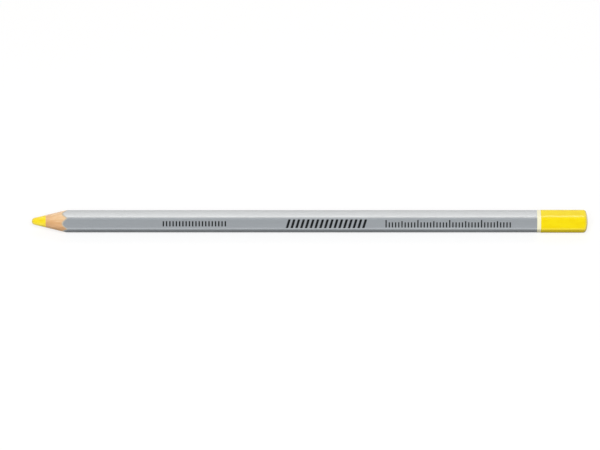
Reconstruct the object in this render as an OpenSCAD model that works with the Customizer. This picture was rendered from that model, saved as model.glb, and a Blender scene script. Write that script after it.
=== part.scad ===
// Six-sided wooden marking pencil, sharpened at one end and dipped at the other.
// It lies along X on one of its flat sides, point towards -X. The origin is
// under the middle of its length, on the surface that it lies on. Millimetres.

/* [Barrel] */
// Whole length, from the blunt tip of the lead to the crown of the end cap
pencil_l = 175; // [90:1:200]
// Distance across two opposite flat sides, over the body lacquer
across_flats = 6.55; // [6:0.05:8]
// Radius that rounds the six long ridges, over the body lacquer
ridge_r = 1.25; // [0.5:0.05:1.6]
// Thickness of the body lacquer, all coats together
lacquer_t = 0.12; // [0.05:0.01:0.3]

/* [Lead] */
// Diameter of the coloured lead
lead_d = 3.9; // [2:0.1:4.6]

/* [Sharpened point] */
// Angle between the sharpened cone and the pencil's axis, in degrees
point_angle = 13.4; // [11:0.1:20]
// Radius of the worn, blunt tip of the lead
nose_r = 1.12; // [0.3:0.01:1.2]

/* [Ring] */
// Width of the painted ring in front of the end cap
ring_w = 1.2; // [0.5:0.1:4]
// Thickness of the ring's paint over the body lacquer
ring_t = 0.04; // [0.02:0.01:0.15]

/* [End cap] */
// Length of the dipped end cap, from the ring to its crown
cap_l = 14.8; // [8:0.1:30]
// Thickness of the cap's paint over the flat sides
cap_t = 0.1; // [0.03:0.01:0.2]
// Thickness of the cap's paint at the end, where the dip gathers
cap_end_t = 0.25; // [0.1:0.05:0.8]
// Radius of the domed end
dome_r = 9; // [5.6:0.1:15]
// Radius of the rounded shoulder between the dome and the ridges
shoulder_r = 1; // [0.2:0.1:1.5]

/* [Hidden] */
$fn = 96;

SIDES = 6;
CORNER_ANGLE = 180 / SIDES;

// Arcs lap over their neighbours by this much, so that the two join cleanly
LAP = 0.001;
// Cutting forms reach this far past what they cut
MARGIN = 1;

// Stations along the pencil's axis
tip_x = -pencil_l / 2;
end_x = pencil_l / 2;
cap_x = end_x - cap_l;
ring_x = cap_x - ring_w;
wood_end_x = end_x - cap_end_t;

// The pencil lies on its thickest coat
axis_z = across_flats / 2 + max(cap_t, ring_t);
wood_flats = across_flats - 2 * lacquer_t;
wood_ridge_r = ridge_r - lacquer_t;
cap_flats = across_flats + 2 * cap_t;
cap_ridge_r = ridge_r + cap_t;

// The turned forms are cut from round stock, clear of the ridges and of both ends
stock_r = across_flats;
stock_l = pencil_l + MARGIN;

// Distance from the axis to the centre of a ridge's rounding, and to the ridge itself
function ridge_centre(flats, r) = (flats / 2 - r) / cos(CORNER_ANGLE);
function ridge_reach(flats, r) = ridge_centre(flats, r) + r;

// Cross-section with six flat sides and rounded ridges, one flat side down
module rounded_hexagon(flats, r) {
    ridges = [for (k = [0 : SIDES - 1]) 2 * CORNER_ANGLE * k];
    centre = ridge_centre(flats, r);
    polygon([for (a = ridges, side = [-1, 1])
        centre * [cos(a), sin(a)]
            + r * [cos(a + side * CORNER_ANGLE), sin(a + side * CORNER_ANGLE)]]);
    for (a = ridges)
        rotate(a)
            translate([centre, 0])
                circle(r + LAP);
}

// Draws a cross-section out along the pencil, from one station to another
module along_pencil(from_x, to_x) {
    translate([from_x, 0, axis_z])
        rotate([90, 0, 90])
            linear_extrude(to_x - from_x)
                children();
}

// Turns the outer side of an outline about the pencil's axis. Its points are
// [distance from the axis, distance past station at_x].
module turned(at_x) {
    translate([at_x, 0, axis_z])
        rotate([0, 90, 0])
            rotate_extrude()
                intersection() {
                    union()
                        children();
                    translate([0, -2 * stock_l])
                        square([2 * stock_r, 4 * stock_l]);
                }
}

// Everything that a sharpener leaves: a straight cone that ends in a ball nose
module sharpened_form() {
    cone_start = nose_r * (1 - sin(point_angle));
    cone_r = nose_r * cos(point_angle);
    stock_start = cone_start + (stock_r - cone_r) / tan(point_angle);
    turned(tip_x) {
        polygon([
            [0, cone_start], [cone_r, cone_start], [stock_r, stock_start],
            [stock_r, stock_l], [0, stock_l],
        ]);
        translate([0, nose_r])
            circle(nose_r + LAP);
    }
}

// Everything inside a domed end, with a rounded shoulder where it meets the ridges.
// Both arcs are measured from the dome's centre, and end on the line through it
// and the shoulder's centre, where they are tangent.
module domed_form(crown_x, crown_r, reach) {
    shoulder = [reach - shoulder_r, sqrt(pow(crown_r - shoulder_r, 2) - pow(reach - shoulder_r, 2))];
    beyond_arc = 2 * crown_r;
    turned(crown_x)
        translate([0, -crown_r]) {
            translate([0, -stock_l])
                square([stock_r, stock_l + shoulder.y]);
            translate(shoulder)
                circle(shoulder_r + 2 * LAP);
            intersection() {
                circle(crown_r);
                polygon([[0, 0], shoulder * beyond_arc / shoulder.y, [0, beyond_arc]]);
            }
        }
}

// The bare end of the wood and its lacquer, before the cap is dipped
module trimmed_end() {
    domed_form(wood_end_x, dome_r - cap_end_t, ridge_reach(across_flats, ridge_r));
}

// Cuts a full-length bar to the sharpened point and to the rounded end
module sharpened_and_trimmed() {
    intersection() {
        along_pencil(tip_x - MARGIN, end_x + MARGIN)
            children();
        sharpened_form();
        trimmed_end();
    }
}

// Half of the wooden casing: a grooved slat, glued to the other along the lead
module casing_slat(side) {
    sharpened_and_trimmed()
        intersection() {
            difference() {
                rounded_hexagon(wood_flats, wood_ridge_r);
                circle(d = lead_d);
            }
            translate([0, side * wood_flats / 2])
                square([2 * wood_flats, wood_flats], center = true);
        }
}

module lead() {
    color("gold")
        sharpened_and_trimmed()
            circle(d = lead_d);
}

module upper_casing_slat() {
    color("burlywood")
        casing_slat(1);
}

module lower_casing_slat() {
    color("tan")
        casing_slat(-1);
}

module body_lacquer() {
    color("silver")
        sharpened_and_trimmed()
            difference() {
                rounded_hexagon(across_flats, ridge_r);
                rounded_hexagon(wood_flats, wood_ridge_r);
            }
}

module painted_ring() {
    color("ivory")
        along_pencil(ring_x, cap_x)
            difference() {
                rounded_hexagon(across_flats + 2 * ring_t, ridge_r + ring_t);
                rounded_hexagon(across_flats, ridge_r);
            }
}

module end_cap() {
    color("yellow")
        difference() {
            intersection() {
                along_pencil(cap_x, end_x + MARGIN)
                    rounded_hexagon(cap_flats, cap_ridge_r);
                domed_form(end_x, dome_r, ridge_reach(cap_flats, cap_ridge_r));
            }
            intersection() {
                along_pencil(cap_x - MARGIN, end_x + MARGIN)
                    rounded_hexagon(across_flats, ridge_r);
                trimmed_end();
            }
        }
}

lead();
upper_casing_slat();
lower_casing_slat();
body_lacquer();
painted_ring();
end_cap();
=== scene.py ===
# %% [markdown]
# # Dressing a six-sided marking pencil
#
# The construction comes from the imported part: a thick yellow lead between two
# glued wooden slats, a coat of silver lacquer, a painted ring and a dipped cap.
# That frame is fixed. Here each visible piece is modelled again as a fine mesh
# with its own finish, exactly where the frame says that it is.
#
# The pencil lies along X with its point towards -X. Everything is in metres.

from math import asin, atan, atan2, cos, degrees, log, pi, radians, sin, sqrt

import bmesh
import bpy
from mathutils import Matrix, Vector


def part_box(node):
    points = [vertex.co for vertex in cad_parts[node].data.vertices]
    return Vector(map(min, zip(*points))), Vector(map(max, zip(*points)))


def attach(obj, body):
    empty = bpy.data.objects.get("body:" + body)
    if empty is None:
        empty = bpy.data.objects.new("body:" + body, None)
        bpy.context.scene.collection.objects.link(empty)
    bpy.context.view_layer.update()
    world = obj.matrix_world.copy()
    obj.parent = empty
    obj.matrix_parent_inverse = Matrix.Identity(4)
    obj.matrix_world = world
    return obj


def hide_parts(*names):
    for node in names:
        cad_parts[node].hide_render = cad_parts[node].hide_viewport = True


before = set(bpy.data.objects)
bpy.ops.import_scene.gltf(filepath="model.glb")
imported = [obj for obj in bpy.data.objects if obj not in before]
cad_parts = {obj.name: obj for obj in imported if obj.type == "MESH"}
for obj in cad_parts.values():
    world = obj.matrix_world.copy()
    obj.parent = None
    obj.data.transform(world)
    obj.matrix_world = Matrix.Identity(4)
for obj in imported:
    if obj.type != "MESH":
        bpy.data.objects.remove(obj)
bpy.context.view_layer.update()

MM = 0.001
print("nodes:", ", ".join(sorted(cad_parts)))

# %% [markdown]
# ## Sizes
#
# A pencil is a few simple sizes seen many times: how wide it is across its flat
# sides, how far its rounded ridges reach, and how steep the sharpened cone is.
# The boxes of the frame's nodes give all of them, so nothing is measured twice.

# %% Read the pencil's sizes from the frame
lead_low, lead_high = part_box("lead")
wood_low, wood_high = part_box("upper_casing_slat")
coat_low, coat_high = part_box("body_lacquer")
ring_low, ring_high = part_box("painted_ring")
cap_low, cap_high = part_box("end_cap")

axis_z = (lead_low.z + lead_high.z) / 2
lead_r = (lead_high.z - lead_low.z) / 2
tip_x = lead_low.x
wood_front_x = wood_low.x
wood_end_x = lead_high.x
crown_x = cap_high.x

# How far the sharpened cone widens for each metre along the pencil
cone_slope = (wood_high.z - axis_z - lead_r) / (coat_low.x - wood_front_x)
cone_apex_x = wood_front_x - lead_r / cone_slope
cone_angle = atan(cone_slope)
nose_r = (tip_x - cone_apex_x) * sin(cone_angle) / (1 - sin(cone_angle))

print(f"axis {axis_z / MM:.3f} mm up, lead {2 * lead_r / MM:.2f} mm thick")
print(f"cone {degrees(cone_angle):.1f} degrees, nose {nose_r / MM:.2f} mm")

# %% [markdown]
# ## The six-sided outline
#
# A sharp hexagon with its corners rounded looks too much like a machined bar.
# Lacquer and paint are pulled by their own surface tension, so a real pencil has
# sides that are a hair crowned and ridges that round off gradually.
#
# One formula gives both. Each side on its own is a straight line at a distance
# from the axis. Adding the six with a high power blends the lines where two of
# them meet, and a little of a plain circle crowns them. The power isn't chosen:
# it is the one at which the ridges reach as far as they do in the frame.

# %% A rounded hexagon as a distance from the axis for each angle
CROWN = 0.12
HALF_SIDE = radians(30)
SIDE_ANGLES = [HALF_SIDE * (1 + 2 * side) for side in range(6)]


def six_sided(half_width, ridge_reach):
    """The outline of a coat: half its width across the flats, and its ridges' reach."""
    blended_ridge = (ridge_reach - CROWN * half_width) / (1 - CROWN)
    power = log(2) / log(half_width / cos(HALF_SIDE) / blended_ridge)

    def reach(angle):
        sides = sum(max(0.0, cos(angle - side)) ** power for side in SIDE_ANGLES)
        return half_width * ((1 - CROWN) * sides ** (-1 / power) + CROWN)

    return reach


def round_outline(radius):
    """The outline of a round piece, such as the lead."""
    return lambda angle: radius


wood_outline = six_sided(wood_high.z - axis_z, wood_high.y)
coat_outline = six_sided(coat_high.z - axis_z, coat_high.y)
ring_outline = six_sided(ring_high.z - axis_z, ring_high.y)
cap_outline = six_sided(cap_high.z - axis_z, cap_high.y)
lead_outline = round_outline(lead_r)
print(f"ridge reach {coat_outline(0) / MM:.3f} mm, side {coat_outline(SIDE_ANGLES[0]) / MM:.3f} mm")

# %% [markdown]
# ## Drawing a ring along the pencil
#
# Every piece here is a ring of points that is drawn along the pencil: outwards
# over a coat, down its edge and back along its inside. In the editor that is one
# circle, extruded again and again.
#
# A *station* says where the ring goes next. It takes an angle round the axis and
# gives a place along X and a distance from the axis. Because X may depend on the
# angle too, a station can follow the curve where a cone cuts a hexagon, and that
# is all it takes to make a pencil's scalloped edge.

# %% Rings, stations and pieces
RING_POINTS = 240
MERGE_GAP = 1e-8


def place(vert, angle, station):
    """Moves a point to a station, at its angle round the axis."""
    x, reach = station(angle)
    vert.co = (x, reach * cos(angle), axis_z + reach * sin(angle))


def first_ring(bm, station):
    """Starts a piece with one ring of edges at a station."""
    circle = bmesh.ops.create_circle(bm, segments=RING_POINTS, radius=1)["verts"]
    for vert in circle:
        place(vert, atan2(vert.co.y, vert.co.x), station)
    return bm.edges[:]


def draw_ring(bm, ring, stations):
    """Extrudes a ring from station to station. Gives the last ring and each step's faces."""
    steps = []
    for station in stations:
        made = bmesh.ops.extrude_edge_only(bm, edges=ring)["geom"]
        verts = {item for item in made if isinstance(item, bmesh.types.BMVert)}
        edges = [item for item in made if isinstance(item, bmesh.types.BMEdge)]
        ring = [edge for edge in edges if set(edge.verts) <= verts]
        steps.append([item for item in made if isinstance(item, bmesh.types.BMFace)])
        for vert in verts:
            place(vert, atan2(vert.co.z - axis_z, vert.co.y), station)
    return ring, steps


def close_to_point(bm, ring, x):
    """Draws a ring together at the axis, as at the tip of the lead."""
    made = bmesh.ops.extrude_edge_only(bm, edges=ring)["geom"]
    verts = [item for item in made if isinstance(item, bmesh.types.BMVert)]
    bmesh.ops.pointmerge(bm, verts=verts, merge_co=(x, 0, axis_z))


def close_to_start(bm):
    """Joins a last ring to the first one that it was drawn back to."""
    bmesh.ops.remove_doubles(bm, verts=bm.verts, dist=MERGE_GAP)


SHARP_ANGLE = radians(35)


def as_piece(bm, name, materials, slot, *nodes):
    """Makes a finished bmesh an object that rides on the pencil and replaces CAD nodes."""
    bmesh.ops.recalc_face_normals(bm, faces=bm.faces)
    mesh = bpy.data.meshes.new(name)
    bm.to_mesh(mesh)
    bm.free()
    for material in materials:
        mesh.materials.append(material)
    mesh.shade_smooth()
    mesh.set_sharp_from_angle(angle=SHARP_ANGLE)
    piece = bpy.data.objects.new(name, mesh)
    bpy.context.scene.collection.objects.link(piece)
    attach(piece, "root")
    if nodes:
        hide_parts(*nodes)
    print(f"{name}: {len(mesh.vertices)} points, {len(mesh.polygons)} faces")


# %% [markdown]
# ## Stations that several pieces share
#
# `on_cone` puts an outline on the sharpened cone, and `on_end` puts it on the
# end that the cap was dipped over: a shallow dome, with its shoulder rounded off.
# `straight` is a plain cut across.

# %% Plain, coned and domed stations
BARE_DOME_R = 8.75 * MM
SHOULDER_R = 1.0 * MM


def straight(x, outline):
    """A plain ring across the pencil at x."""
    return lambda angle: (x, outline(angle))


def cone_x(reach):
    """The place along X where the sharpened cone is this wide."""
    return cone_apex_x + reach / cone_slope


def on_cone(outline, behind=0.0):
    """A ring where the cone cuts an outline, or a little behind that cut."""
    return lambda angle: (cone_x(outline(angle)) + behind, outline(angle))


def on_end(outline):
    """A ring where the bare, rounded end cuts an outline."""

    def station(angle):
        reach = outline(angle)
        dome_x = wood_end_x - BARE_DOME_R
        centre = coat_outline(angle) - SHOULDER_R
        if reach / BARE_DOME_R < centre / (BARE_DOME_R - SHOULDER_R):
            return dome_x + sqrt(BARE_DOME_R**2 - reach**2), reach
        shoulder_x = dome_x + sqrt((BARE_DOME_R - SHOULDER_R) ** 2 - centre**2)
        return shoulder_x + sqrt(max(0.0, SHOULDER_R**2 - (reach - centre) ** 2)), reach

    return station


def between(low, high, count):
    """Evenly spaced values from low to high, both ends included."""
    return [low + (high - low) * step / (count - 1) for step in range(count)]


def between_outlines(inner, outer, share):
    """An outline part of the way from one to another."""
    return lambda angle: inner(angle) + (outer(angle) - inner(angle)) * share


# %% [markdown]
# ## A helper for finishes
#
# All the finishes are built from the same few nodes: object coordinates that are
# stretched, a noise, a ramp from one tone to another, and a bump. A number that
# is the same everywhere goes straight onto the shader's own socket.

# %% Build a material from a few nodes
def start_finish(name, **sockets):
    """A Principled finish. Socket names are written with _ for a space."""
    finish = bpy.data.materials.new(name)
    finish.use_nodes = True
    shader = finish.node_tree.nodes["Principled BSDF"]
    for socket, value in sockets.items():
        shader.inputs[socket.replace("_", " ")].default_value = value
    return finish, shader


def add_node(finish, kind, **values):
    """Adds a node. A value that is an output is linked, and any other is set."""
    node = finish.node_tree.nodes.new("ShaderNode" + kind)
    for name, value in values.items():
        if hasattr(node, name):
            setattr(node, name, value)
            continue
        socket = node.inputs[name.replace("_", " ")]
        if isinstance(value, bpy.types.NodeSocket):
            finish.node_tree.links.new(value, socket)
        else:
            socket.default_value = value
    return node


def maths(finish, operation, *values):
    """One step of arithmetic on outputs and numbers."""
    node = add_node(finish, "Math", operation=operation)
    for socket, value in zip(node.inputs, values):
        if isinstance(value, bpy.types.NodeSocket):
            finish.node_tree.links.new(value, socket)
        else:
            socket.default_value = value
    return node.outputs[0]


def stretched_noise(finish, sizes, detail=2.0, roughness=0.5, offset=(0, 0, 0)):
    """Noise whose features have these sizes, in metres, along X, Y and Z."""
    place_on = add_node(finish, "TexCoord").outputs["Object"]
    scale = tuple(1 / size for size in sizes)
    spread = add_node(finish, "Mapping", Vector=place_on, Scale=scale, Location=offset)
    noise = add_node(
        finish, "TexNoise", Vector=spread.outputs["Vector"],
        Scale=1.0, Detail=detail, Roughness=roughness,
    )
    return noise.outputs["Fac"]


def tones(finish, value, *stops):
    """A ramp of (position, colour) stops over a value from 0 to 1."""
    ramp = add_node(finish, "ValToRGB", Fac=value)
    points = ramp.color_ramp.elements
    while len(points) < len(stops):
        points.new(0.5)
    for point, (position, colour) in zip(points, stops):
        point.position = position
        point.color = (*colour, 1)
    return ramp.outputs["Color"]


def roughen(finish, shader, height, depth, strength=1.0):
    """Turns a height from 0 to 1 into a bump that is this deep, in metres."""
    bump = add_node(finish, "Bump", Height=height, Distance=depth, Strength=strength)
    finish.node_tree.links.new(bump.outputs["Normal"], shader.inputs["Normal"])


def colour_with(finish, shader, colour):
    """Links a colour to the shader's base."""
    finish.node_tree.links.new(colour, shader.inputs["Base Color"])


# %% [markdown]
# ## The lead
#
# The coloured lead is much thicker and softer than graphite, and it is bound with
# wax. A sharpener leaves it as the tip of the same cone as the wood, and the first
# strokes on paper round its nose. Its surface is dull, slightly uneven, and a
# little darker in the fine rings that the blade leaves.

# %% The waxy lead's finish
def waxy_lead_finish():
    """Dense yellow pigment in wax, with blade rings and a powdery grain."""
    finish, shader = start_finish(
        "waxy_lead", Roughness=0.35, Specular_IOR_Level=0.9, Coat_Weight=0.3, Coat_Roughness=0.3)
    patches = stretched_noise(finish, (1.4 * MM, 0.9 * MM, 0.9 * MM), detail=3)
    colour_with(finish, shader, tones(
        finish, patches,
        (0.30, (0.86, 0.64, 0.000)),
        (0.50, (0.92, 0.71, 0.002)),
        (0.72, (0.96, 0.78, 0.015)),
    ))
    grain = stretched_noise(finish, (0.10 * MM, 0.5 * MM, 0.5 * MM), detail=3, roughness=0.6)
    roughen(finish, shader, grain, 0.012 * MM)
    return finish


waxy_lead = waxy_lead_finish()

# %% The lead, from its worn nose to the end of the wood
NOSE_STEPS = 14
CONE_STEPS = 16


def on_nose(turn):
    """A ring on the ball nose, turned this far from the tip."""
    return straight(tip_x + nose_r * (1 - cos(turn)), round_outline(nose_r * sin(turn)))


def make_lead():
    """A round bar with a conical point and a blunt nose."""
    nose_end = pi / 2 - cone_angle
    cone_start = nose_r * sin(nose_end)
    bm = bmesh.new()
    ring = first_ring(bm, on_cone(lead_outline))
    cone = [on_cone(round_outline(r)) for r in between(lead_r, cone_start, CONE_STEPS)[1:-1]]
    nose = [on_nose(turn) for turn in between(nose_end, 0, NOSE_STEPS)[:-1]]
    front, _ = draw_ring(bm, ring, cone + nose)
    close_to_point(bm, front, tip_x)
    back, _ = draw_ring(bm, ring, [on_end(lead_outline), on_end(round_outline(lead_r / 2))])
    close_to_point(bm, back, wood_end_x)
    as_piece(bm, "coloured_lead", [waxy_lead], "lead", "lead")


make_lead()

# %% [markdown]
# ## The casing
#
# A pencil's casing is two grooved slats that are glued together round the lead,
# and then cut to six sides. The sharpener lays the wood bare as a cone. Its grain
# runs along the pencil, so on the cone it shows as long fine streaks, with darker
# bands where the growth rings are cut at a slant.
#
# The ramp below takes both the grain and the height above or below the glue line.
# That height is painted shading: the wood is made richer and darker next to the
# glue line and paler towards the outside of each slat, so the top of the upper
# slat's cone is painted lighter, as light from above would make it.
#
# Both slats are drawn as one sleeve, which a plane through the ridges then cuts
# in two, as the glue line does. Each half gets its own grain.

# %% The bare wood's finish
# Painted shading: between these heights from the glue line the wood's tone shifts from darker to
# paler.
PAINTED_SHADE_HEIGHT = 0.3 * MM
PAINTED_LIGHT_HEIGHT = 2.7 * MM
PAINTED_LIGHT_SHIFT = 0.22


def painted_light_by_height(finish):
    """Painted shading: a shift along the ramp, darker by the glue line and paler on the outside,
    which paints the top of the upper slat lighter.
    """
    place_on = add_node(finish, "TexCoord").outputs["Object"]
    z = add_node(finish, "SeparateXYZ", Vector=place_on).outputs["Z"]
    height = maths(finish, "ABSOLUTE", maths(finish, "SUBTRACT", z, axis_z))
    shift = add_node(
        finish, "MapRange", Value=height, From_Min=PAINTED_SHADE_HEIGHT, From_Max=PAINTED_LIGHT_HEIGHT,
        To_Min=-PAINTED_LIGHT_SHIFT, To_Max=PAINTED_LIGHT_SHIFT)
    return shift.outputs["Result"]


def bare_wood_finish(name, offset):
    """Straight-grained casing wood, with painted shading by height. The offset picks another
    stretch of grain.
    """
    finish, shader = start_finish(
        name, Roughness=0.5, Specular_IOR_Level=0.9, Coat_Weight=0.8, Coat_Roughness=0.45)
    bands = stretched_noise(finish, (7 * MM, 0.9 * MM, 0.9 * MM), detail=4, offset=offset)
    # The tone mixes the grain with the painted shading by height.
    colour_with(finish, shader, tones(
        finish, maths(finish, "ADD", bands, painted_light_by_height(finish)),
        (0.15, (0.600, 0.300, 0.112)),
        (0.30, (0.665, 0.360, 0.145)),
        (0.53, (0.740, 0.418, 0.188)),
        (0.70, (0.815, 0.533, 0.281)),
        (0.85, (0.860, 0.600, 0.340)),
    ))
    fibres = stretched_noise(
        finish, (1.6 * MM, 0.09 * MM, 0.09 * MM), detail=3, roughness=0.6, offset=offset)
    roughen(finish, shader, fibres, 0.02 * MM)
    return finish


upper_wood = bare_wood_finish("bare_wood_upper", (0, 0, 0))
lower_wood = bare_wood_finish("bare_wood_lower", (3.1, 7.7, 1.3))


# %% The two slats
WOOD_CONE_STEPS = 24
WOOD_END_STEPS = 12


def make_slat(name, finish, side, node):
    """One half of the casing sleeve: side is 1 for the upper and -1 for the lower."""
    bm = bmesh.new()
    ring = first_ring(bm, on_end(wood_outline))

    def across(share):
        return between_outlines(lead_outline, wood_outline, share)

    cone = [on_cone(across(share)) for share in between(1, 0, WOOD_CONE_STEPS)]
    rear = [on_end(across(share)) for share in between(0, 1, WOOD_END_STEPS)]
    draw_ring(bm, ring, cone + rear)
    close_to_start(bm)
    bmesh.ops.bisect_plane(
        bm, geom=bm.verts[:] + bm.edges[:] + bm.faces[:], dist=MERGE_GAP,
        plane_co=(0, 0, axis_z), plane_no=(0, 0, side), clear_inner=True,
    )
    rim = [edge for edge in bm.edges if edge.is_boundary]
    bmesh.ops.holes_fill(bm, edges=rim)
    as_piece(bm, name, [finish], "casing_wood", node)


make_slat("upper_slat", upper_wood, 1, "upper_casing_slat")
make_slat("lower_slat", lower_wood, -1, "lower_casing_slat")

# %% [markdown]
# ## The lacquer
#
# The body gets several coats: a tan-grey primer first, then silver lacquer, which is
# metal flake in a clear binder. Where the sharpener cuts through them at a shallow
# angle, the coats show as narrow bands that follow the scalloped edge.
#
# Silver lacquer changes tone with the light more than a plain grey does, because
# the flakes mirror what is above them. Part of the shader is therefore metallic.
# The flakes themselves are a very fine noise, which is only seen from close by.

# %% Silver lacquer and its primer
FLAKE = 0.07 * MM
FLAKE_SHARE = 0.75


def silver_lacquer_finish():
    """Satin silver: fine flake, drawn into faint streaks along the pencil."""
    finish, shader = start_finish("silver_lacquer", Metallic=0.47, Roughness=0.33)
    streaks = stretched_noise(finish, (26 * MM, 0.5 * MM, 0.5 * MM), detail=3)
    flakes = stretched_noise(finish, (FLAKE, FLAKE, FLAKE), detail=1)
    plain_streaks = maths(finish, "MULTIPLY", streaks, 1 - FLAKE_SHARE)
    colour_with(finish, shader, tones(
        finish, maths(finish, "MULTIPLY_ADD", flakes, FLAKE_SHARE, plain_streaks),
        (0.35, (0.448, 0.478, 0.502)),
        (0.65, (0.518, 0.552, 0.577)),
    ))
    flow = stretched_noise(finish, (9 * MM, 1.2 * MM, 1.2 * MM), detail=1)
    roughen(finish, shader, flow, 0.0005 * MM)
    return finish


def primer_finish():
    """Tan-grey, matt primer, seen only where it is cut."""
    finish, shader = start_finish("tan_primer", Roughness=0.65, Specular_IOR_Level=0.2)
    mottle = stretched_noise(finish, (0.4 * MM, 0.3 * MM, 0.3 * MM), detail=3)
    colour_with(finish, shader, tones(
        finish, mottle,
        (0.35, (0.52, 0.43, 0.31)),
        (0.65, (0.61, 0.52, 0.39)),
    ))
    return finish


silver_lacquer = silver_lacquer_finish()
tan_primer = primer_finish()

# %% The lacquer sleeve
PRIMER_SHARE = 0.85
EDGE_ROUND = 0.05 * MM
COAT_CUT_STEPS = 4
BARREL_STEPS = 12
BEHIND_SCALLOPS = 3 * MM


def make_coat():
    """A thin six-sided sleeve with a scalloped front edge."""
    bm = bmesh.new()
    ring = first_ring(bm, on_end(coat_outline))
    barrel_xs = between(cap_low.x, coat_low.x + BEHIND_SCALLOPS, BARREL_STEPS)
    barrel = [straight(x, coat_outline) for x in barrel_xs]
    silver_cut = between(1, PRIMER_SHARE, COAT_CUT_STEPS)
    primer_cut = between(PRIMER_SHARE, 0, COAT_CUT_STEPS)[1:]

    def across(share):
        return between_outlines(wood_outline, coat_outline, share)

    ring, _ = draw_ring(bm, ring, barrel + [on_cone(coat_outline, behind=EDGE_ROUND)])
    ring, _ = draw_ring(bm, ring, [on_cone(across(share)) for share in silver_cut])
    ring, primer_steps = draw_ring(bm, ring, [on_cone(across(share)) for share in primer_cut])
    draw_ring(bm, ring, [on_end(across(share)) for share in between(0, 1, COAT_CUT_STEPS)])
    for face in sum(primer_steps, []):
        face.material_index = 1
    close_to_start(bm)
    as_piece(bm, "silver_coat", [silver_lacquer, tan_primer], "body_lacquer", "body_lacquer")


make_coat()

# %% [markdown]
# ## The ring
#
# A narrow white band is rolled on in front of the cap. It stands a few hundredths
# of a millimetre proud and its edges are soft, because wet enamel pulls back.

# %% White enamel
def ring_enamel_finish():
    """Glossy white with a trace of warmth."""
    finish, shader = start_finish("ring_enamel", Roughness=0.22, Specular_IOR_Level=0.4)
    cloud = stretched_noise(finish, (1.2 * MM, 0.8 * MM, 0.8 * MM), detail=3)
    colour_with(finish, shader, tones(
        finish, cloud,
        (0.35, (0.845, 0.80, 0.545)),
        (0.65, (0.875, 0.84, 0.60)),
    ))
    return finish


ring_enamel = ring_enamel_finish()


# %% The ring, with soft edges
SOFT_EDGE_STEPS = 5
RING_EDGE = 0.12 * MM


def soft_edge(x, inward, low, high, run):
    """Stations that climb from one outline to another on a quarter round at x."""
    turns = between(0, pi / 2, SOFT_EDGE_STEPS)
    return [
        straight(x + inward * run * (1 - cos(turn)), between_outlines(low, high, sin(turn)))
        for turn in turns
    ]


def make_ring():
    """A closed band that sits on the lacquer."""
    front = soft_edge(ring_low.x, 1, coat_outline, ring_outline, RING_EDGE)
    back = soft_edge(ring_high.x, -1, coat_outline, ring_outline, RING_EDGE)
    bm = bmesh.new()
    ring = first_ring(bm, front[0])
    draw_ring(bm, ring, front[1:] + back[::-1] + [front[0]])
    close_to_start(bm)
    as_piece(bm, "white_ring", [ring_enamel], "ring_paint", "painted_ring")


make_ring()

# %% [markdown]
# ## The dipped cap
#
# The end is dipped in glossy enamel. The paint hangs in a thin even film over the
# sides, starts with a soft lip, and gathers at the end, where it rounds the dome
# and the shoulder into one smooth curve.
#
# The end's profile is an arc for the dome and a smaller arc for the shoulder. It
# is worked out afresh for each angle, so the shoulder runs round all six sides.

# %% Yellow enamel
def cap_enamel_finish():
    """Deep gloss yellow."""
    finish, shader = start_finish(
        "cap_enamel", Roughness=0.08, Specular_IOR_Level=0.35, Coat_Weight=0.5, Coat_Roughness=0.05)
    cloud = stretched_noise(finish, (3 * MM, 1.2 * MM, 1.2 * MM), detail=2)
    colour_with(finish, shader, tones(
        finish, cloud,
        (0.35, (0.86, 0.655, 0.000)),
        (0.65, (0.89, 0.705, 0.002)),
    ))
    flow = stretched_noise(finish, (2.5 * MM, 1.4 * MM, 1.4 * MM), detail=1)
    roughen(finish, shader, flow, 0.0025 * MM)
    return finish


cap_enamel = cap_enamel_finish()

# %% The cap
DOME_R = 9.0 * MM
DOME_STEPS = 16
SHOULDER_STEPS = 10
CAP_EDGE = 0.15 * MM
CAP_SIDE_STEPS = 6
PAST_LIP = 1.0 * MM
BEFORE_SHOULDER = 2.5 * MM


def end_profile(outline, crown, dome_r, shoulder_r, share):
    """A station on the rounded end: share runs from 0 on the side to 1 at the crown."""

    def station(angle):
        limit = outline(angle)
        dome_x = crown - dome_r
        shoulder_x = dome_x + sqrt((dome_r - shoulder_r) ** 2 - (limit - shoulder_r) ** 2)
        meet = asin((limit - shoulder_r) / (dome_r - shoulder_r))
        if share < 0.5:
            turn = pi / 2 + (meet - pi / 2) * 2 * share
            return shoulder_x + shoulder_r * cos(turn), limit - shoulder_r * (1 - sin(turn))
        turn = meet * 2 * (1 - share)
        return dome_x + dome_r * cos(turn), dome_r * sin(turn)

    return station


def rounded_end(outline, crown, dome_r, shoulder_r):
    """All stations from the side to just short of the crown."""
    shares = between(0, 0.5, SHOULDER_STEPS) + between(0.5, 1, DOME_STEPS)[1:-1]
    return [end_profile(outline, crown, dome_r, shoulder_r, share) for share in shares]


def make_cap():
    """A thin shell over the end, open towards the pencil."""
    lip = soft_edge(cap_low.x, 1, coat_outline, cap_outline, CAP_EDGE)
    side_xs = between(cap_low.x + PAST_LIP, crown_x - BEFORE_SHOULDER, CAP_SIDE_STEPS)
    side = [straight(x, cap_outline) for x in side_xs]
    bm = bmesh.new()
    ring = first_ring(bm, lip[0])
    outer_end = rounded_end(cap_outline, crown_x, DOME_R, SHOULDER_R)
    outer, _ = draw_ring(bm, ring, lip[1:] + side + outer_end)
    close_to_point(bm, outer, crown_x)
    inner_end = rounded_end(coat_outline, wood_end_x, BARE_DOME_R, SHOULDER_R)
    inner, _ = draw_ring(bm, ring, inner_end)
    close_to_point(bm, inner, wood_end_x)
    as_piece(bm, "dipped_cap", [cap_enamel], "cap_paint", "end_cap")


make_cap()

# %% [markdown]
# ## The printing
#
# The maker prints on one side of the barrel. Here the places stay, and hold plain
# marks: a dashed line, a bold hatched band and a small millimetre scale. Each mark
# is a thin slab of ink that stands just proud of the lacquer.

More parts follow.
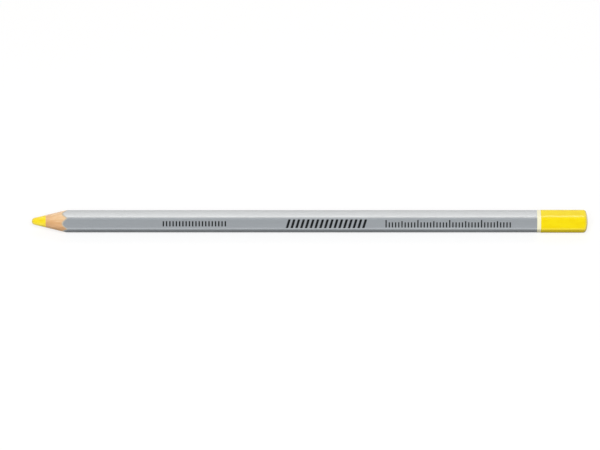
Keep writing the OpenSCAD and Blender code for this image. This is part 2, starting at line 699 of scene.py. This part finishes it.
# %% Printing ink
def ink_finish():
    """Dark grey stamping ink with slightly uneven cover."""
    finish, shader = start_finish("printing_ink", Roughness=0.45, Specular_IOR_Level=0.3)
    cover = stretched_noise(finish, (0.5 * MM, 0.3 * MM, 0.3 * MM), detail=3)
    colour_with(finish, shader, tones(
        finish, cover,
        (0.35, (0.004, 0.005, 0.006)),
        (0.65, (0.010, 0.011, 0.013)),
    ))
    return finish


printing_ink = ink_finish()

# %% Marks on the printed side
INK_T = 0.015 * MM
INK_SINK = 0.01 * MM
MARK_STEPS = 6
MARK_CORNER = 0.08 * MM
PRINT_SIDE = radians(150)


def add_mark(bm, x, width, height, rise=0.0, slant=0.0):
    """Adds one bar, centred at x along the pencil and at a rise up the printed side."""
    verts = bmesh.ops.create_grid(bm, x_segments=1, y_segments=MARK_STEPS, size=0.5)["verts"]
    for vert in verts:
        up = vert.co.y * height + rise
        vert.co = (x + vert.co.x * width + up * slant, up, 0)
    return [vert for vert in verts if len(vert.link_edges) == 2]


def make_print(name, marks):
    """A set of marks, each (x, width, height, rise, slant), as thin closed slabs."""
    bm = bmesh.new()
    corners = []
    for mark in marks:
        corners += add_mark(bm, *mark)
    bmesh.ops.bevel(
        bm, geom=corners, offset=MARK_CORNER, segments=3, profile=0.5,
        affect="VERTICES", material=-1,
    )
    bmesh.ops.recalc_face_normals(bm, faces=bm.faces)
    bmesh.ops.solidify(bm, geom=bm.faces[:], thickness=INK_T + INK_SINK)
    bm.normal_update()
    low = min(vert.co.z for vert in bm.verts)
    for vert in bm.verts:
        x, up, out = vert.co.x, vert.co.y, vert.co.z - low - INK_SINK
        angle = PRINT_SIDE - atan(up / coat_outline(PRINT_SIDE))
        place(vert, angle, straight(x, lambda turned: coat_outline(turned) + out))
    as_piece(bm, name, [printing_ink], "body_lacquer")


# %% Three printed places
DASH_SHARE = 0.42
BAR_SHARE = 0.5
BAR_SLANT = 0.3
SCALE_LINE = 0.4 * MM
ONE_MM = 0.7
FIVE_MM = 0.85
TEN_MM = 1.0


def upright_dashes(x_low, x_high, pitch, height):
    """A row of short upright dashes."""
    count = round((x_high - x_low) / pitch)
    step = (x_high - x_low) / count
    return [(x_low + (n + 0.5) * step, DASH_SHARE * step, height) for n in range(count)]


def hatched_band(x_low, x_high, pitch, height):
    """Bold slanting bars."""
    count = round((x_high - x_low) / pitch)
    step = (x_high - x_low) / count
    return [
        (x_low + (n + 0.5) * step, BAR_SHARE * step, height, 0.0, BAR_SLANT) for n in range(count)
    ]


def scale_marks(x_low, x_high, pitch, height):
    """Graduations: every fifth is longer and every tenth is the longest."""
    marks = []
    for n in range(round((x_high - x_low) / pitch) + 1):
        share = TEN_MM if n % 10 == 0 else FIVE_MM if n % 5 == 0 else ONE_MM
        marks.append((x_low + n * pitch, SCALE_LINE, share * height, (share - 1) * height / 2))
    return marks


make_print("dashed_print", upright_dashes(-46.5 * MM, -26 * MM, 1.05 * MM, 1.7 * MM))
make_print("hatched_print", hatched_band(-7.5 * MM, 18 * MM, 1.5 * MM, 2.85 * MM))
make_print("scale_print", scale_marks(24 * MM, 63 * MM, 1 * MM, 2.45 * MM))

# %% [markdown]
# ## A white floor that keeps the shadow
#
# Small things are often shown on plain white. More light would give that, but it
# would bleach the pencil too. So the floor and the world are white only to what
# looks at them: the camera, a reflection or a view through glass. The light that
# they throw back on the pencil comes from a plain pale floor and a dim, warm world.
#
# The white is mixed in as a glow. To the camera the rest of the mix is the floor
# as it is lit, so the pencil's soft shadow stays. In a reflection the floor is
# nearly all glow, but that fades next to the pencil, where little sky reaches the
# floor. It is what makes the lowest side of a glossy pencil dark.

# %% Floor and world
FLOOR_HALF = 10.0
FLOOR_BOUNCE = (0.6, 0.6, 0.6)
GLOW_TO_CAMERA = 0.7
GLOW_REFLECTED = 0.95
SHADE_REACH = 20 * MM
SHADE_DEPTH = 4
WORLD_FILL = 0.34
WORLD_COLOUR = (1.0, 0.93, 0.86)
WHITE = (1.0, 1.0, 1.0)


def seen_directly(finish):
    """Is 1 for what the camera sees straight, in a reflection or through glass."""
    path = add_node(finish, "LightPath").outputs
    mirrored = maths(finish, "MAXIMUM", path["Is Camera Ray"], path["Is Glossy Ray"])
    return maths(finish, "MAXIMUM", mirrored, path["Is Transmission Ray"])


def stage_sheet(name, finish, size, place_vert=None):
    """A flat sheet that belongs to the studio, not to the pencil."""
    bm = bmesh.new()
    bmesh.ops.create_grid(bm, x_segments=1, y_segments=1, size=size)
    if place_vert:
        for vert in bm.verts:
            vert.co = place_vert(vert.co)
    mesh = bpy.data.meshes.new(name)
    bm.to_mesh(mesh)
    bm.free()
    mesh.materials.append(finish)
    sheet = bpy.data.objects.new(name, mesh)
    bpy.context.scene.collection.objects.link(sheet)
    return sheet


def white_floor_finish():
    """Lit floor with a white glow mixed in where it is looked at."""
    finish, shader = start_finish("white_floor", Roughness=1.0, Specular_IOR_Level=0.0)
    seen = seen_directly(finish)
    colour_with(finish, shader, tones(finish, seen, (0.0, FLOOR_BOUNCE), (1.0, WHITE)))
    open_sky = add_node(finish, "AmbientOcclusion", Distance=SHADE_REACH).outputs["AO"]
    by_eye = add_node(finish, "LightPath").outputs["Is Camera Ray"]
    strength = maths(finish, "MAXIMUM", maths(finish, "POWER", open_sky, SHADE_DEPTH), by_eye)
    glow = add_node(finish, "Emission", Color=(*WHITE, 1), Strength=strength)
    share = add_node(
        finish, "MapRange", Value=by_eye, To_Min=GLOW_REFLECTED, To_Max=GLOW_TO_CAMERA)
    mixed = add_node(
        finish, "MixShader", Fac=maths(finish, "MULTIPLY", seen, share.outputs["Result"]))
    links, output = finish.node_tree.links, finish.node_tree.nodes["Material Output"]
    links.new(shader.outputs["BSDF"], mixed.inputs[1])
    links.new(glow.outputs["Emission"], mixed.inputs[2])
    links.new(mixed.outputs["Shader"], output.inputs["Surface"])
    return finish


def light_world():
    """White to the camera, warm white in reflections, and a dim, warm fill to the rest."""
    world = bpy.data.worlds.new("studio")
    bpy.context.scene.world = world
    world.use_nodes = True
    level = add_node(world, "MapRange", Value=seen_directly(world), To_Min=WORLD_FILL, To_Max=1.0)
    by_eye = add_node(world, "LightPath").outputs["Is Camera Ray"]
    colour = tones(world, by_eye, (0.0, WORLD_COLOUR), (1.0, WHITE))
    links, background = world.node_tree.links, world.node_tree.nodes["Background"]
    links.new(level.outputs["Result"], background.inputs["Strength"])
    links.new(colour, background.inputs["Color"])


stage_sheet("floor", white_floor_finish(), FLOOR_HALF)
light_world()
print(f"floor {2 * FLOOR_HALF:.0f} m wide, world fill {WORLD_FILL}")

# %% [markdown]
# ## Soft boxes and a dark card
#
# A broad, faintly cool panel high in front gives the plain light that shows each
# colour about as it was chosen. A low strip behind does the same for the far side.
# Both are hidden from reflections, so they leave no hot spot.
#
# A ridge is a narrow mirror that looks in many directions at once. A narrow soft
# box above and behind the pencil is all that the upper near ridge needs for its
# bright line. In front leans a dim card that is only seen in reflections, as the
# unlit half of a studio is. It keeps the near side of the silver deep in tone.

# %% Soft boxes
SOFT_BOX_HEIGHT = 0.7
SOFT_BOX_LENGTH = 0.6
SOFT_BOX_NEAR = 0.40
SOFT_BOX_FAR = 0.60
SOFT_BOX_RADIANCE = 2.8
SOFT_BOX_COLOUR = (1.0, 0.96, 0.92)
FILL_SIZE = (0.8, 0.6)
FILL_ANGLE = radians(52)
FILL_RADIANCE = 6.1
FILL_COLOUR = (0.97, 1.0, 1.04)
BACK_SIZE = (1.2, 0.16)
BACK_ANGLE = radians(6)
BACK_RADIANCE = 5.8


def hang_panel(name, size, centre, facing, radiance, colour):
    """A flat panel of light at a place, facing along a direction."""
    width, height = size
    lamp = bpy.data.lights.new(name, "AREA")
    lamp.shape = "RECTANGLE"
    lamp.size, lamp.size_y = width, height
    lamp.energy = radiance * pi * width * height
    lamp.color = colour
    panel = bpy.data.objects.new(name, lamp)
    bpy.context.scene.collection.objects.link(panel)
    panel.location = centre
    panel.rotation_euler = Vector(facing).to_track_quat("-Z", "Y").to_euler()
    panel.visible_camera = False
    print(f"{name}: {width:.2f} x {height:.2f} m, {lamp.energy:.1f} W")
    return panel


hang_panel(
    "soft_box", (SOFT_BOX_LENGTH, SOFT_BOX_FAR - SOFT_BOX_NEAR),
    (0, (SOFT_BOX_FAR + SOFT_BOX_NEAR) / 2, SOFT_BOX_HEIGHT), (0, 0, -1),
    SOFT_BOX_RADIANCE, SOFT_BOX_COLOUR,
)
fill_way = Vector((0, -cos(FILL_ANGLE), sin(FILL_ANGLE)))
fill = hang_panel("front_fill", FILL_SIZE, fill_way, -fill_way, FILL_RADIANCE, FILL_COLOUR)
fill.visible_glossy = False
back_way = Vector((0, cos(BACK_ANGLE), sin(BACK_ANGLE)))
back = hang_panel("back_fill", BACK_SIZE, back_way, -back_way, BACK_RADIANCE, FILL_COLOUR)
back.visible_glossy = False

# %% Dark card
CARD_GLOW = 0.15
CARD_WIDTH = 4.0
CARD_TOP = Vector((0, -0.10, 0.75))
CARD_FOOT = Vector((0, -1.5, 0.0))


def stand_card():
    """A dim card that leans from the floor in front to above the pencil, for reflections."""
    finish, _ = start_finish(
        "dim_card", Base_Color=(0, 0, 0, 1), Specular_IOR_Level=0.0,
        Emission_Color=(*WHITE, 1), Emission_Strength=CARD_GLOW)

    def lean(corner):
        return CARD_TOP.lerp(CARD_FOOT, corner.y + 0.5) + Vector((CARD_WIDTH * corner.x, 0, 0))

    card = stage_sheet("dark_card", finish, 0.5, lean)
    card.visible_camera = False
    card.visible_diffuse = False
    card.visible_shadow = False


stand_card()

# %% [markdown]
# ## The camera
#
# It looks across the pencil from the side and well above it, with a very long lens
# from far away, so the two ends of the pencil look the same size.

# %% Camera
ELEVATION = radians(44.3)
LENS = 300.0
SENSOR = 36.0
VIEW_WIDTH = 188.9 * MM
AIM_ALONG = -3.05 * MM
AIM_DOWN = 1.185 * MM


def set_camera():
    """Looks across the pencil, from the side and above."""
    data = bpy.data.cameras.new("camera")
    data.lens = LENS
    data.sensor_width = SENSOR
    camera = bpy.data.objects.new("camera", data)
    bpy.context.scene.collection.objects.link(camera)
    bpy.context.scene.camera = camera
    back = Vector((0, -cos(ELEVATION), sin(ELEVATION)))
    up = Vector((0, sin(ELEVATION), cos(ELEVATION)))
    aim = Vector(((tip_x + crown_x) / 2 + AIM_ALONG, 0, axis_z)) - up * AIM_DOWN
    camera.location = aim + back * (VIEW_WIDTH * LENS / SENSOR)
    camera.rotation_euler = (-back).to_track_quat("-Z", "Y").to_euler()
    print(f"camera {VIEW_WIDTH * LENS / SENSOR:.2f} m away, {degrees(ELEVATION):.1f} degrees up")


set_camera()
bpy.context.scene.view_settings.view_transform = "Standard"
